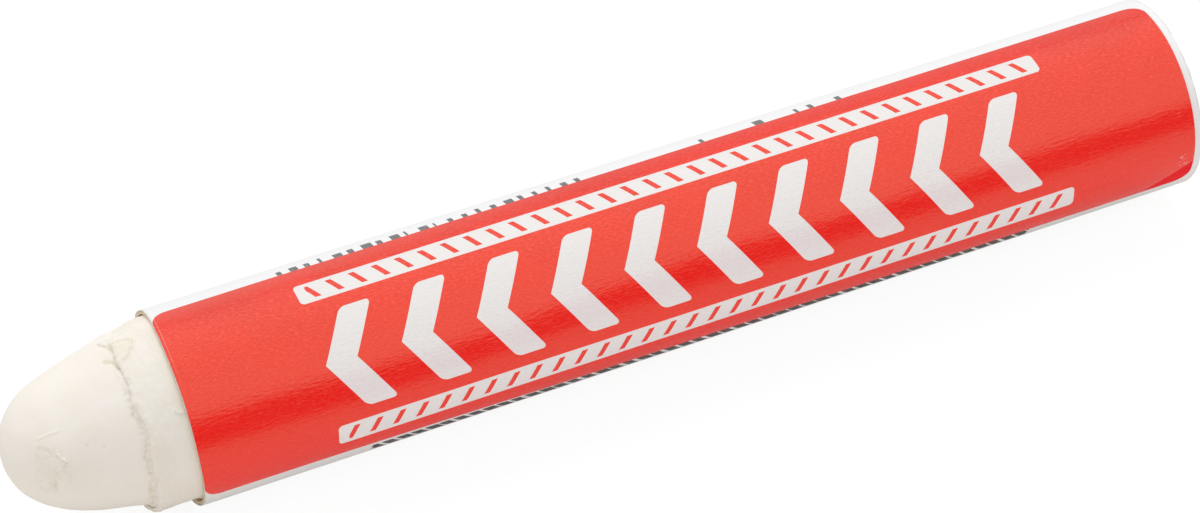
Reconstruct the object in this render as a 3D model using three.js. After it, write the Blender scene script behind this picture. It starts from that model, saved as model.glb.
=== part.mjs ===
// A solid paint marker: a moulded stick of paint that is pushed forward through a rolled paper tube.
// Lengths are in millimetres and angles in degrees. The marker is built standing on its rear end,
// with its axis on Z, and is then laid on its side with its nose towards -X.

import * as THREE from 'three';

// Paint stick, measured over its dried skin
const stickDiameter = 17.46;
const noseReach = 15.75;
const tipRadius = 6.55;
const rearEdgeRadius = 0.8;

// Dried skin, torn off the nose and left as a collar in front of the tube
const skinThickness = 0.3;
const skinBond = 0.02;
const collarLength = 3.6;
const tearDepth = 0.22;

// The torn edge wanders in waves round the stick: a slow one, shorter tears and fine nicks.
const tearWaves = [
  { share: 0.5, perTurn: 3, startAngle: 46 },
  { share: 0.3, perTurn: 8, startAngle: 120 },
  { share: 0.2, perTurn: 17, startAngle: 17 },
];

// Paper tube, rolled from one kraft sheet
const tubeLength = 104.9;
const runningGap = 0.425;
const kraftThickness = 0.11;
const kraftTurns = 2;
const kraftSeamAngle = 235;

// White wrap, one turn with a glued lap that lies behind the label, this far past its upper edge
const wrapThickness = 0.09;
const wrapLap = 5.8;
const lapBehindLabel = 8.7;
const glueThickness = 0.02;

// Red adhesive label, stuck over the wrap
const labelAcross = 23.1;
const labelThickness = 0.1;
const labelCentreAngle = 44;
const labelCornerRadius = 1.7;
const labelFrontMargin = 0.1;
const labelRearMargin = 0.85;

// Facets of the round forms, with the narrowest facet of a paper as a share of a whole one. The papers
// have few, wide facets, so that the marker lies still on a table.
const stickFacets = 72;
const paperFacets = 24;
const ballSteps = 10;
const edgeSteps = 4;
const cornerSteps = 5;
const smallestFacetShare = 0.05;

// Sizes that follow from the ones above
const stickRadius = stickDiameter / 2;
const coreRadius = stickRadius - skinThickness - skinBond;
const boreRadius = stickRadius + runningGap;
const kraftPitch = kraftThickness + glueThickness;
const wrapInnerRadius = boreRadius + kraftTurns * kraftPitch;
const wrapOuterRadius = wrapInnerRadius + wrapThickness;
const labelInnerRadius = wrapOuterRadius + glueThickness;
const facetAngle = (2 * Math.PI) / paperFacets;
const collarHeight = tubeLength + collarLength;
const tipHeight = tubeLength + noseReach;

const radians = THREE.MathUtils.degToRad;
const labelFirstAngle = radians(labelCentreAngle) - labelAcross / 2 / labelInnerRadius;
const labelLastAngle = radians(labelCentreAngle) + labelAcross / 2 / labelInnerRadius;
const wrapSeamAngle = labelLastAngle + lapBehindLabel / wrapOuterRadius;

// The papers' facets touch their true rounds from outside, and half a facet of offset turns one of
// them down, to lie on.
function facetCornerAngle(index) {
  return (index + 0.5) * facetAngle;
}

function facetCornerRadius(roundRadius) {
  return roundRadius / Math.cos(facetAngle / 2);
}

function facetNear(angle) {
  return Math.round(angle / facetAngle);
}

// Distance from the axis to the faceted form of a round, at any angle.
function facetedRadius(roundRadius, angle) {
  const facet = angle / facetAngle - 0.5;
  const fromMiddle = (facet - Math.floor(facet) - 0.5) * facetAngle;
  return roundRadius / Math.cos(fromMiddle);
}

function dullMaterial(color, roughness) {
  return new THREE.MeshStandardMaterial({ color, roughness, metalness: 0 });
}

function namedMesh(name, geometry, material) {
  const mesh = new THREE.Mesh(geometry, material);
  mesh.name = name;
  return mesh;
}

// A lathe turns about Y, so its work is stood up on Z.
function turned(profile) {
  const geometry = new THREE.LatheGeometry(profile, stickFacets);
  geometry.rotateX(Math.PI / 2);
  return geometry;
}

// A quarter round from the flat end face up to the side of a cylinder.
function roundedRearEdge(radius, height, edgeRadius) {
  const points = [];
  for (let step = 0; step <= edgeSteps; step += 1) {
    const angle = (step / edgeSteps) * (Math.PI / 2);
    const out = radius - edgeRadius + edgeRadius * Math.sin(angle);
    const up = height + edgeRadius - edgeRadius * Math.cos(angle);
    points.push(new THREE.Vector2(out, up));
  }
  return points;
}

// The nose is a cone that starts under the collar and runs smoothly into a ball at the tip.
function noseProfile() {
  const ballHeight = tipHeight - tipRadius;
  const coneRun = ballHeight - collarHeight;
  const reach = Math.hypot(coneRun, coreRadius);
  const baseAngle = Math.PI - Math.atan2(coreRadius, coneRun);
  const tangentAngle = baseAngle - Math.acos(Math.min(1, tipRadius / reach));
  const points = [new THREE.Vector2(coreRadius, collarHeight)];
  for (let step = 0; step < ballSteps; step += 1) {
    const angle = tangentAngle * (1 - step / ballSteps);
    points.push(new THREE.Vector2(
      tipRadius * Math.sin(angle),
      ballHeight + tipRadius * Math.cos(angle),
    ));
  }
  points.push(new THREE.Vector2(0, tipHeight));
  return points;
}

function paintStick() {
  const rearHeight = skinThickness + skinBond;
  const edgeRadius = Math.max(rearEdgeRadius - rearHeight, skinBond);
  const profile = [
    new THREE.Vector2(0, rearHeight),
    ...roundedRearEdge(coreRadius, rearHeight, edgeRadius),
    ...noseProfile(),
  ];
  return namedMesh('paint_stick', turned(profile), dullMaterial(0xf4eee4, 0.75));
}

// Height of the skin's torn edge above its mean line.
function tearOffset(angle) {
  const wave = ({ share, perTurn, startAngle }) => share * Math.sin(perTurn * angle + radians(startAngle));
  return tearDepth * tearWaves.reduce((sum, each) => sum + wave(each), 0);
}

// The skin is a cup round the stick: closed over its rear face, open and torn at the nose.
function driedSkin() {
  const insideRadius = stickRadius - skinThickness;
  const insideEdgeRadius = Math.max(rearEdgeRadius - skinThickness, skinBond);
  const profile = [
    new THREE.Vector2(0, 0),
    ...roundedRearEdge(stickRadius, 0, rearEdgeRadius),
    new THREE.Vector2(stickRadius, collarHeight),
    new THREE.Vector2(insideRadius, collarHeight),
    ...roundedRearEdge(insideRadius, skinThickness, insideEdgeRadius).reverse(),
    new THREE.Vector2(0, skinThickness),
  ];
  const geometry = turned(profile);
  const position = geometry.attributes.position;
  for (let i = 0; i < position.count; i += 1) {
    if (position.getZ(i) > tubeLength) {
      const angle = Math.atan2(position.getY(i), position.getX(i));
      position.setZ(i, position.getZ(i) + tearOffset(angle));
    }
  }
  return namedMesh('dried_skin', geometry, dullMaterial(0xeee6da, 0.6));
}

// A paper sheet rolled on the facets of a round. At the end of each turn it climbs over its own
// starting edge, by one facet, and lies on the turn below with a line of glue between them.
function rolledSheet(innerRadius, thickness, startFacet, facetCount) {
  const outside = [];
  const inside = [];
  for (let step = 0; step <= facetCount; step += 1) {
    const angle = facetCornerAngle(startFacet + step);
    const turnsBelow = Math.floor(step / paperFacets);
    const radius = innerRadius + turnsBelow * (thickness + glueThickness);
    const direction = new THREE.Vector2(Math.cos(angle), Math.sin(angle));
    inside.push(direction.clone().multiplyScalar(facetCornerRadius(radius)));
    outside.push(direction.clone().multiplyScalar(facetCornerRadius(radius + thickness)));
  }
  const section = new THREE.Shape([...outside, ...inside.reverse()]);
  return new THREE.ExtrudeGeometry(section, { depth: tubeLength, bevelEnabled: false });
}

function kraftTube() {
  const facetCount = kraftTurns * paperFacets - 1;
  const startFacet = facetNear(radians(kraftSeamAngle));
  const geometry = rolledSheet(boreRadius, kraftThickness, startFacet, facetCount);
  return namedMesh('kraft_tube', geometry, dullMaterial(0xa87c4c, 0.9));
}

function whiteWrap() {
  const lapFacets = Math.round(wrapLap / (wrapOuterRadius * facetAngle));
  const facetCount = paperFacets + lapFacets;
  const geometry = rolledSheet(wrapInnerRadius, wrapThickness, facetNear(wrapSeamAngle), facetCount);
  return namedMesh('white_wrap', geometry, dullMaterial(0xf2f2f0, 0.5));
}

// Angles across the label where its surface is cut: at each facet corner of the wrap below it,
// and more closely in its rounded corners.
function labelAngles() {
  const angles = [];
  for (let step = 0; step <= cornerSteps; step += 1) {
    const inset = labelCornerRadius * (1 - Math.cos((step / cornerSteps) * (Math.PI / 2)));
    angles.push(labelFirstAngle + inset / labelInnerRadius, labelLastAngle - inset / labelInnerRadius);
  }
  const firstFacet = Math.ceil(labelFirstAngle / facetAngle - 0.5);
  const lastFacet = Math.floor(labelLastAngle / facetAngle - 0.5);
  const closest = facetAngle * smallestFacetShare;
  for (let index = firstFacet; index <= lastFacet; index += 1) {
    const corner = facetCornerAngle(index);
    const near = angles.findIndex((angle) => Math.abs(angle - corner) < closest);
    if (near < 0) {
      angles.push(corner);
    } else {
      angles[near] = corner;
    }
  }
  return angles.sort((a, b) => a - b);
}

// The label follows the facets of the wrap. Its four corners are rounded.
function redLabel() {
  const angles = labelAngles();
  const vertices = [];
  angles.forEach((angle) => {
    const fromSide = Math.min(angle - angles[0], angles[angles.length - 1] - angle);
    const intoCorner = Math.max(labelCornerRadius - fromSide * labelInnerRadius, 0);
    const inset = labelCornerRadius - Math.sqrt(labelCornerRadius ** 2 - intoCorner ** 2);
    const ends = [labelRearMargin + inset, tubeLength - labelFrontMargin - inset];
    [labelInnerRadius, labelInnerRadius + labelThickness].forEach((roundRadius) => {
      const radius = facetedRadius(roundRadius, angle);
      ends.forEach((height) => {
        vertices.push(radius * Math.cos(angle), radius * Math.sin(angle), height);
      });
    });
  });
  const faces = [];
  const quad = (a, b, c, d) => faces.push(a, b, c, a, c, d);
  for (let strip = 0; strip < angles.length - 1; strip += 1) {
    const [innerRear, innerFront, outerRear, outerFront] = [0, 1, 2, 3].map((i) => strip * 4 + i);
    quad(outerRear, outerRear + 4, outerFront + 4, outerFront);
    quad(innerRear, innerFront, innerFront + 4, innerRear + 4);
    quad(innerRear, innerRear + 4, outerRear + 4, outerRear);
    quad(innerFront, outerFront, outerFront + 4, innerFront + 4);
  }
  const last = (angles.length - 1) * 4;
  quad(0, 2, 3, 1);
  quad(last, last + 1, last + 3, last + 2);
  const geometry = new THREE.BufferGeometry();
  geometry.setAttribute('position', new THREE.Float32BufferAttribute(vertices, 3));
  geometry.setIndex(faces);
  geometry.computeVertexNormals();
  return namedMesh('red_label', geometry, dullMaterial(0xe8322c, 0.35));
}

// The stick and its skin move together through the tube, so they share a group.
const slidingStick = new THREE.Group();
slidingStick.add(paintStick(), driedSkin());

const paperTube = new THREE.Group();
paperTube.add(kraftTube(), whiteWrap(), redLabel());

// Laid on its side: the marker's Z turns to -X, its X to -Y and its Y to +Z.
const laidMarker = new THREE.Group();
laidMarker.add(slidingStick, paperTube);
const lyingAxes = new THREE.Matrix4().makeBasis(
  new THREE.Vector3(0, -1, 0),
  new THREE.Vector3(0, 0, 1),
  new THREE.Vector3(-1, 0, 0),
);
laidMarker.quaternion.setFromRotationMatrix(lyingAxes);

// The origin is under the middle of the marker, on the surface that it lies on.
const extent = new THREE.Box3().setFromObject(laidMarker);
const middle = extent.getCenter(new THREE.Vector3());
laidMarker.position.set(-middle.x, -middle.y, -extent.min.z);

const tireMarker = new THREE.Group();
tireMarker.add(laidMarker);

export default tireMarker;
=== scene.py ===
"""A paint stick for marking tires, in its open rolled paper tube.

The pieces lie round one axis along X, with the nose at the low end. Lengths are in millimetres
until a piece is finished. Angles go round the axis in degrees, 0 towards -Y and 90 towards +Z.
"Ahead" is a distance in front of the tube's front rim, and "phi" an angle from the line on the
marker that faces the camera.
"""

import math
from collections import namedtuple

import bmesh
import bpy
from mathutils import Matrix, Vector, kdtree, noise


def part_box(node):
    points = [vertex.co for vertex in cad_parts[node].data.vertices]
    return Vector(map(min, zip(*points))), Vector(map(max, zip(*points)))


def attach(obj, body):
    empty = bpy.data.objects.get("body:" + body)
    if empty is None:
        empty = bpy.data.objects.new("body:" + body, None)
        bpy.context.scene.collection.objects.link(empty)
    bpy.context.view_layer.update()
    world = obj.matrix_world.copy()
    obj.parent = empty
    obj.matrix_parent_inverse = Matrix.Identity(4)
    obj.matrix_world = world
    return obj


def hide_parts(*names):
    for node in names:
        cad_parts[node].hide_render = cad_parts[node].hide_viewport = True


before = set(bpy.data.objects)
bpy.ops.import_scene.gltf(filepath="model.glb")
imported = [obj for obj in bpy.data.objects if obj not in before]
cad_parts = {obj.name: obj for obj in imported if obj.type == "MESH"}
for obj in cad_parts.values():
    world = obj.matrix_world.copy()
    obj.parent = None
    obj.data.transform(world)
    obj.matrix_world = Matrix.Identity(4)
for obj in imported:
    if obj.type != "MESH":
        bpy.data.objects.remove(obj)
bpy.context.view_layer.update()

MM = 0.001
FULL_TURN = 360.0
HALF_TURN = 180.0

# Without a seed, the torn outlines that ragged gives would change from run to run
NOISE_SEED = 5
noise.seed_set(NOISE_SEED)

# Sizes taken from the frame
stick_low, stick_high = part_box("paint_stick")
skin_low, skin_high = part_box("dried_skin")
wrap_low, wrap_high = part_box("white_wrap")
kraft_low, kraft_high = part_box("kraft_tube")
label_low, label_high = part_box("red_label")
AXIS_Y = (stick_low.y + stick_high.y) / 2
AXIS_Z = (stick_low.z + stick_high.z) / 2
RIM = wrap_low.x / MM
REAR = wrap_high.x / MM
TUBE_LENGTH = REAR - RIM
TIP = stick_low.x / MM
CORE_REAR = stick_high.x / MM
CORE_RADIUS = (stick_high.y - stick_low.y) / 2 / MM
SKIN_RADIUS = (skin_high.y - skin_low.y) / 2 / MM
KRAFT_RADIUS = (kraft_high.y - kraft_low.y) / 2 / MM
WRAP_RADIUS = (AXIS_Z - wrap_low.z) / MM
LABEL_RADIUS = (label_high.z - AXIS_Z) / MM
LABEL_FRONT = label_low.x / MM
LABEL_LENGTH = (label_high.x - label_low.x) / MM

# The stick
TIP_RADIUS = 6.55
COLLAR_AHEAD = 3.6
SKIN_THICKNESS = 0.3
SKIN_BOND = 0.02
REAR_EDGE = 0.8

# How finely the pieces are cut up
ROUND_STEPS = 400
CORNER_STEPS = 6
NOSE_STEP = 0.115
BODY_STEP = 5.0
TRACE_STEPS = 24
SHARP_ANGLE = 40

# The papers
KRAFT_THICKNESS = 0.11
KRAFT_SEAM = 235
KRAFT_OPEN = 12
WRAP_THICKNESS = 0.09
WRAP_SEAM = 172.5
WRAP_LAP = 30
GLUE = 0.02
CLIMB = 8
LABEL_THICKNESS = 0.1
LABEL_CENTRE = 44
LABEL_WIDTH = 23.1
LABEL_CORNER = 1.7
LABEL_LOWER_TRIM = 0.5
LABEL_UPPER_TRIM = 0.32
LABEL_FRONT_TRIM = 0.6
LAP_END = math.radians(WRAP_SEAM + WRAP_LAP - LABEL_CENTRE) * (WRAP_RADIUS - WRAP_THICKNESS / 2)

# The camera. Its side is the angle round the axis of the line that faces it.
CAMERA_SIDE = 48.2
CAMERA_AZIMUTH = -24.22
CAMERA_HEIGHT = 45.53
CAMERA_DISTANCE = 0.4071
CAMERA_LENS = 127.57
CAMERA_SENSOR = 36
CAMERA_AIM = (0.0001, 0.0008, AXIS_Z + 0.0009)

# The skin's torn edge, as (phi, ahead), and its small tears, as (height, size)
TORN_EDGE = (
    (-150, 3.75), (-112, 3.95), (-79, 3.6), (-67, 3.73), (-52, 3.84), (-43, 3.6), (-38, 3.81),
    (-26, 3.86), (-13, 3.64), (-6, 3.6), (2, 3.85), (11, 4.07), (19, 3.88), (31, 3.93),
    (37, 3.97), (44, 4.05), (51, 3.8), (67, 3.9), (95, 3.65), (128, 4.0), (160, 3.8),
)
TEARS = ((0.12, 0.8), (0.11, 0.3))

# Marks on the nose and the collar. The path is a row of (ahead, phi). The height is in the middle
# of the mark, which fades over its width. The rag is how far and in what size its outline wanders,
# the shade is how strongly painted shade colours it, and a broken mark comes and goes along its
# path.
Mark = namedtuple("Mark", "path height width rag shade broken")
SMOOTH = (0.0, 1.0)
TORN = (0.16, 0.55)
TORN_SKIN = (0.1, 0.5)
FLAKE_EDGE = (
    (11.85, -3), (11.73, -5.7), (11.44, -12.9), (11.04, -16.3), (11.57, -22.9), (12.12, -26.2),
    (12.3, -31), (12.59, -33.4), (12.65, -42), (12.6, -49.3),
)
FLAKE_BRANCH = ((11.4, -17), (11.15, -24), (11.05, -30), (11.3, -36))
FLAKE_MIDDLE = ((12.9, -10), (12.9, -20), (13.2, -30), (13.3, -41))
WORN_SIDE = ((13.2, -62), (13.0, -96))
BEAD = ((4.3, 36), (4.25, 25), (4.2, 14), (4.15, 6), (4.0, -3))
CRACK = ((4.75, 71), (4.5, 67), (4.15, 59), (3.79, 51))
CRACK_BRANCH = ((4.9, 47), (4.5, 44), (4.1, 40), (3.9, 33))
SCRATCH = ((12.85, 10.5), (11.94, 10.9), (10.94, 10.3))
SMALL_PITS = ((13.6, -21), (9.0, -8), (7.6, -12), (12.9, -37))
# The cracks, the crack's branch and the small pits carry painted shade
NOSE_MARKS = (
    Mark(BEAD, 0.1, 0.15, TORN, 0.0, False),
    Mark(CRACK, -0.2, 0.11, TORN, 1.0, False),
    Mark(CRACK_BRANCH, -0.16, 0.2, TORN, 0.8, False),
    Mark(FLAKE_EDGE, 0.5, 0.12, (0.22, 0.4), 0.0, True),
    Mark(FLAKE_BRANCH, 0.36, 0.11, (0.2, 0.4), 0.0, True),
    Mark(SCRATCH, 0.07, 0.09, SMOOTH, 0.0, False),
    *(Mark((pit,), -0.08, 0.13, SMOOTH, 0.4, False) for pit in SMALL_PITS),
)
FLAP_EDGE = ((3.82, 56), (3.0, 55.5), (2.2, 54.5), (1.94, 51), (2.2, 47), (2.75, 42.5), (3.4, 39))
FLAP_MIDDLE = ((3.6, 48), (2.9, 49))
RIM_NICK = ((0.75, -2.5), (0.45, -4.2), (0.05, -5))
# The flap's rim carries painted shade as its shadow; the flap's middle takes the same colour as a
# yellower tint
SKIN_MARKS = (
    Mark(FLAP_MIDDLE, 0.2, 1.15, SMOOTH, 0.7, False),
    Mark(FLAP_EDGE, 0.18, 0.13, TORN_SKIN, 0.0, False),
    Mark(FLAP_EDGE, 0.0, 0.12, TORN_SKIN, 0.8, False),
    Mark(RIM_NICK, 0.26, 0.12, TORN_SKIN, 0.0, False),
)

# Relief of the nose. Each pair is the height and the size of an uneven surface.
NOSE_LUMPS = ((0.11, 5.0), (0.05, 2.1), (0.012, 0.7))
PATCH_RAG = (0.3, 0.7)
PATCH_WIDTH = 1.15
PATCH_DEPTH = 0.13
CRUMB_SIZES = (0.34, 0.62)
HOLLOW_DEPTH = 0.36
WORN_DEPTH = 0.26
WORN_WIDTH = 2.6
GROOVE_AHEAD = 0.32
GROOVE_WIDTH = 0.36
GROOVE_DEPTH = 0.16

# Relief of the skin
SKIN_LUMPS = ((0.035, 2.4), (0.022, 0.8), (0.014, 0.4))
SWELL = 0.41
PLUG = 0.36
POCKET = 0.15
COLLAR_LUMP = 0.08
CURL = 0.05
THINNED = 0.12
RUBBED = 0.38
REAR_DISH = 0.12

# The front rim's slant: the least and the added distance back
RIM_BACK = 0.08
RIM_SLANT = 0.46

# The print on the label
PRINT_START = 13.5
PRINT_END = 90.5
CHEVRON_COUNT = 10
CHEVRON_HEIGHT = 9.8
CHEVRON_STROKE = 3.1
CHEVRON_SLOPE = 0.62
CHEVRON_PITCH = 7.5
CHEVRON_START = 13.0
CHEVRON_INSET = 0.6
CHEVRON_CORNER = 0.55
BAR_PLACE = 7.45
BAR_HEIGHT = 2.4
BAR_CORNER = 0.45
HATCH_PITCH = 2.3
HATCH_SHARE = 0.26
HATCH_SLOPE = 0.55
HATCH_MARGIN = 0.42

# Wear on the label: where the clear film is missing, as a point on its cut and the cut's
# direction, and where it is scuffed. Then where the painted highlight along the film's front edge
# lies.
FILM_CUT = (99.8, -10.29)
FILM_CUT_ACROSS = (0.481, -0.877)
SCUFF = (103.0, -7.6)
SCUFF_AREA = 0.8
FILM_EDGE_PLACE = 0.24
FILM_EDGE_HALF = 0.05

# The print on the wrap
DASH_PITCH = 1.45
UPPER_DASHES = (13.2, 44.0)
STRAY_DASHES_END = 72.0
STRAY_CHANCE = 0.16
UPPER_DASH_TOP = 12.2
LOWER_DASHES = (17.2, 86.5)
LOWER_DASH_PLACE = 12.1
LOWER_DASH_HALF = 0.8
LOWER_DASH_SLOPE = 0.7
RULER_PLACE = 16.2
RULER_SPAN = (9.9, 95.1)
RULER_LINE = 0.09

# Colours, in linear light
PAINT_LIGHT = (0.905, 0.855, 0.795, 1)
PAINT_WARM = (0.885, 0.83, 0.745, 1)
PAINT_SPECK = (0.83, 0.765, 0.66, 1)
# Painted shade for the nose's cracks, pits, grooves and flaked edges
PAINT_PAINTED_SHADE = (0.68, 0.60, 0.42, 1)
SKIN_LIGHT = (0.89, 0.845, 0.775, 1)
SKIN_WARM = (0.87, 0.815, 0.73, 1)
# Painted shade for the crust by the rim and along the flap's rim, and the flap's own yellower tint
SKIN_PAINTED_SHADE_AND_TINT = (0.80, 0.72, 0.53, 1)
KRAFT_LIGHT = (0.55, 0.31, 0.13, 1)
KRAFT_DARK = (0.36, 0.18, 0.065, 1)
KRAFT_CUT = (0.74, 0.66, 0.50, 1)
KRAFT_FLECK = (0.66, 0.47, 0.27, 1)
# Painted light near the cut rims, where the inside of the tube lies in shade
KRAFT_RIM_PAINTED_LIGHT = (0.93, 0.66, 0.43, 1)
# Painted light: the red is lighter towards the label's lower edge
LABEL_RED = (0.74, 0.008, 0.008, 1)
LABEL_RED_LOW_PAINTED_LIGHT = (1.0, 0.007, 0.009, 1)
LABEL_RED_WARM = (0.98, 0.011, 0.011, 1)
# Painted sheen on the film's ripples, then painted shade in their troughs
LABEL_RIPPLE_SHEEN = (0.99, 0.05, 0.048, 1)
LABEL_RIPPLE_SHADE = (0.72, 0.003, 0.004, 1)
LABEL_PALE = (0.87, 0.12, 0.095, 1)
FILM_GLOSS = (1.0, 0.98, 0.55, 1)
# Painted highlight along the film's front edge
FILM_EDGE_HIGHLIGHT = (0.95, 0.35, 0.31, 1)
CORNER_RED = (0.92, 0.004, 0.012, 1)
PRINT_WHITE = (0.805, 0.78, 0.79, 1)
# Painted light: the print white is lighter towards the label's lower edge
PRINT_WHITE_LOW_PAINTED_LIGHT = (0.93, 0.885, 0.91, 1)
# Painted shade of the film's ripples on the print white
PRINT_RIPPLE_SHADE = (0.78, 0.745, 0.755, 1)
PAPER_WHITE = (0.885, 0.885, 0.885, 1)
PAPER_COOL = (0.87, 0.88, 0.89, 1)
PAPER_WORN = (0.55, 0.44, 0.30, 1)
INK = (0.035, 0.035, 0.038, 1)

# The studio. The dark card's edges are rows of (x, z), so that the dark band that the label's
# gloss shows has the photographed outline.
SKY_LIGHT = 0.77
LAMP_POWER = 1.27
LAMP_PLACE = (0.03, 0.27, 0.49)
LAMP_SIZE = 0.4
FLOOR_REACH = 1.5
FLOOR_GLOW = 0.885
FLOOR_SHARE = 0.16
FLOOR_PALE = (0.905, 0.88, 0.83, 1)
FLOOR_IN_GLOSS = (0.64, 0.60, 0.60, 1)
GREY_CARD = (0.42, 0.42, 0.42, 1)
GREY_CARD_FOOT = ((-0.2, 0.05, 0.0005), (0.4, 0.05, 0.0005))
GREY_CARD_TOP = ((-0.2, 0.16, 0.125), (0.4, 0.16, 0.125))
DARK_CARD = (0.5, 0.008, 0.008, 1)
DARK_CARD_Y = -0.05
DARK_CARD_FOOT = (
    (-0.12, 0.009), (-0.029, 0.0075), (-0.016, 0.006), (-0.002, 0.0075), (0.007, 0.0102),
    (0.024, 0.0095), (0.038, 0.0093), (0.062, 0.0085), (0.08, 0.0085), (0.3, 0.0085),
)
DARK_CARD_TOP = (
    (-0.12, 0.037), (-0.029, 0.0365), (-0.016, 0.0305), (-0.002, 0.028), (0.007, 0.034),
    (0.024, 0.0385), (0.038, 0.031), (0.062, 0.031), (0.08, 0.031), (0.3, 0.031),
)


# Places and heights

def smooth_step(value, low, high):
    """0 below low, 1 above high, and smooth in between."""
    share = min(1.0, max(0.0, (value - low) / (high - low)))
    return share * share * (3 - 2 * share)


def bell(distance, width):
    """1 at no distance, falling away to 0 on both sides over about that width."""
    return math.exp(-(distance / width) ** 2)


def uneven(spot, height, size):
    """A smooth random height of one size."""
    return height * noise.noise(spot / size)


def within_half_turn(angle):
    """The same angle between -180 and 180 degrees."""
    return (angle + HALF_TURN) % FULL_TURN - HALF_TURN


def radius_ahead(ahead):
    """Radius of the bare paint at a distance ahead of the rim: cylinder, cone, then ball."""
    reach = RIM - TIP
    ball_centre = reach - TIP_RADIUS
    run = ball_centre - COLLAR_AHEAD
    base = math.pi - math.atan2(CORE_RADIUS, run)
    tangent = base - math.acos(TIP_RADIUS / math.hypot(run, CORE_RADIUS))
    cone_end = ball_centre + TIP_RADIUS * math.cos(tangent)
    if ahead <= COLLAR_AHEAD:
        return CORE_RADIUS
    if ahead < cone_end:
        share = (ahead - COLLAR_AHEAD) / (cone_end - COLLAR_AHEAD)
        return CORE_RADIUS + share * (TIP_RADIUS * math.sin(tangent) - CORE_RADIUS)
    return math.sqrt(max(0.0, TIP_RADIUS ** 2 - (ahead - ball_centre) ** 2))


def on_round(x, radius, angle):
    """A point at that angle round the axis."""
    turn = math.radians(angle)
    return Vector((x, -radius * math.cos(turn), radius * math.sin(turn)))


def round_place(point):
    """(ahead, radius, phi) of a point."""
    angle = math.degrees(math.atan2(point.z, -point.y))
    return RIM - point.x, math.hypot(point.y, point.z), within_half_turn(angle - CAMERA_SIDE)


def traced(path, lift=0.0):
    """A search tree of points along a path on the stick's surface, or that far above it."""
    points = []
    for (ahead, phi), (next_ahead, next_phi) in zip(path, path[1:] or path):
        for step in range(TRACE_STEPS):
            share = step / TRACE_STEPS
            here = ahead + share * (next_ahead - ahead)
            angle = CAMERA_SIDE + phi + share * (next_phi - phi)
            points.append(on_round(RIM - here, radius_ahead(here) + lift, angle))
    tree = kdtree.KDTree(len(points))
    for index, point in enumerate(points):
        tree.insert(point, index)
    tree.balance()
    return tree


def near(tree, point, width):
    """1 on a traced path, falling away to 0 over about that width."""
    return bell(tree.find(point)[2], width)


def ragged(point, amount, size):
    """The point moved a little at random, so that a mark through it has a torn outline."""
    return point + amount * noise.noise_vector(point / size)


def marked(marks, spot, tear):
    """The height and the painted shade that marks add at a point.

    marks pairs each mark with its tree, and tear is how much of a broken mark is there.
    """
    height = 0.0
    shade = 0.0
    for mark, tree in marks:
        strength = near(tree, ragged(spot, *mark.rag), mark.width)
        if mark.broken:
            strength *= tear
        height += mark.height * strength
        shade += mark.shade * strength
    return height, shade


def torn_ahead(phi):
    """Where the skin's torn edge lies, with its small tears."""
    later = next((i for i, place in enumerate(TORN_EDGE) if place[0] > phi), 0)
    (start, low), (end, high) = TORN_EDGE[later - 1], TORN_EDGE[later]
    share = ((phi - start) % FULL_TURN) / ((end - start) % FULL_TURN)
    level = low + (high - low) * smooth_step(share, 0, 1)
    spot = on_round(0, SKIN_RADIUS, phi)
    return level + sum(uneven(spot, *tear) for tear in TEARS)


def worn_top(phi):
    """1 where the crust is rubbed down level with the nose, past the top towards the back."""
    return smooth_step(phi, 50, 72) * (1 - smooth_step(phi, 118, 150))


def facing(phi):
    """1 over the side that faces the camera, where the crust swells, and less over the top."""
    over_top = 1 - 0.42 * smooth_step(phi, 56, 84)
    return smooth_step(phi, -94, -58) * over_top * (1 - smooth_step(phi, 102, 124))


def rim_slant(phi):
    """How far back the front rim lies there, as it isn't cut quite square."""
    return RIM_BACK + RIM_SLANT * smooth_step(abs(phi), 20, 84)


# Meshes

def turned(profile, steps):
    """Turns a profile of (x, radius) points round the axis into a closed solid."""
    bm = bmesh.new()
    verts = [bm.verts.new((x, -radius, 0)) for x, radius in profile]
    edges = [bm.edges.new(pair) for pair in zip(verts, verts[1:])]
    bmesh.ops.spin(
        bm, geom=verts + edges, cent=(0, 0, 0), axis=(1, 0, 0), angle=math.tau,
        steps=steps, use_merge=True,
    )
    bmesh.ops.remove_doubles(bm, verts=bm.verts, dist=0.0005)
    bmesh.ops.recalc_face_normals(bm, faces=bm.faces)
    return bm


def spaced(start, end, step):
    """Values from start to end, about a step apart, with both ends."""
    count = max(1, round(abs(end - start) / step))
    return [start + (end - start) * index / count for index in range(count + 1)]


def quarter_round(x, radius, edge):
    """The rounded corner from a rear face at x up to a cylinder of that radius."""
    turns = [index / CORNER_STEPS * math.pi / 2 for index in range(CORNER_STEPS + 1)]
    return [
        (x - edge + edge * math.cos(turn), radius - edge + edge * math.sin(turn)) for turn in turns
    ]


def finished(name, bm, node, body, finish):
    """Puts a piece in its place in the frame, hides the part it stands for, and hangs it on its
    body.
    """
    if bm.calc_volume(signed=True) < 0:
        bmesh.ops.reverse_faces(bm, faces=bm.faces)
    bmesh.ops.scale(bm, vec=(MM, MM, MM), verts=bm.verts)
    bmesh.ops.translate(bm, vec=(0, AXIS_Y, AXIS_Z), verts=bm.verts)
    mesh = bpy.data.meshes.new(name)
    bm.to_mesh(mesh)
    bm.free()
    mesh.shade_smooth()
    mesh.set_sharp_from_angle(angle=math.radians(SHARP_ANGLE))
    piece = bpy.data.objects.new(name, mesh)
    bpy.context.scene.collection.objects.link(piece)
    mesh.materials.append(finish)
    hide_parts(node)
    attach(piece, body)


# The stick of paint

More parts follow.
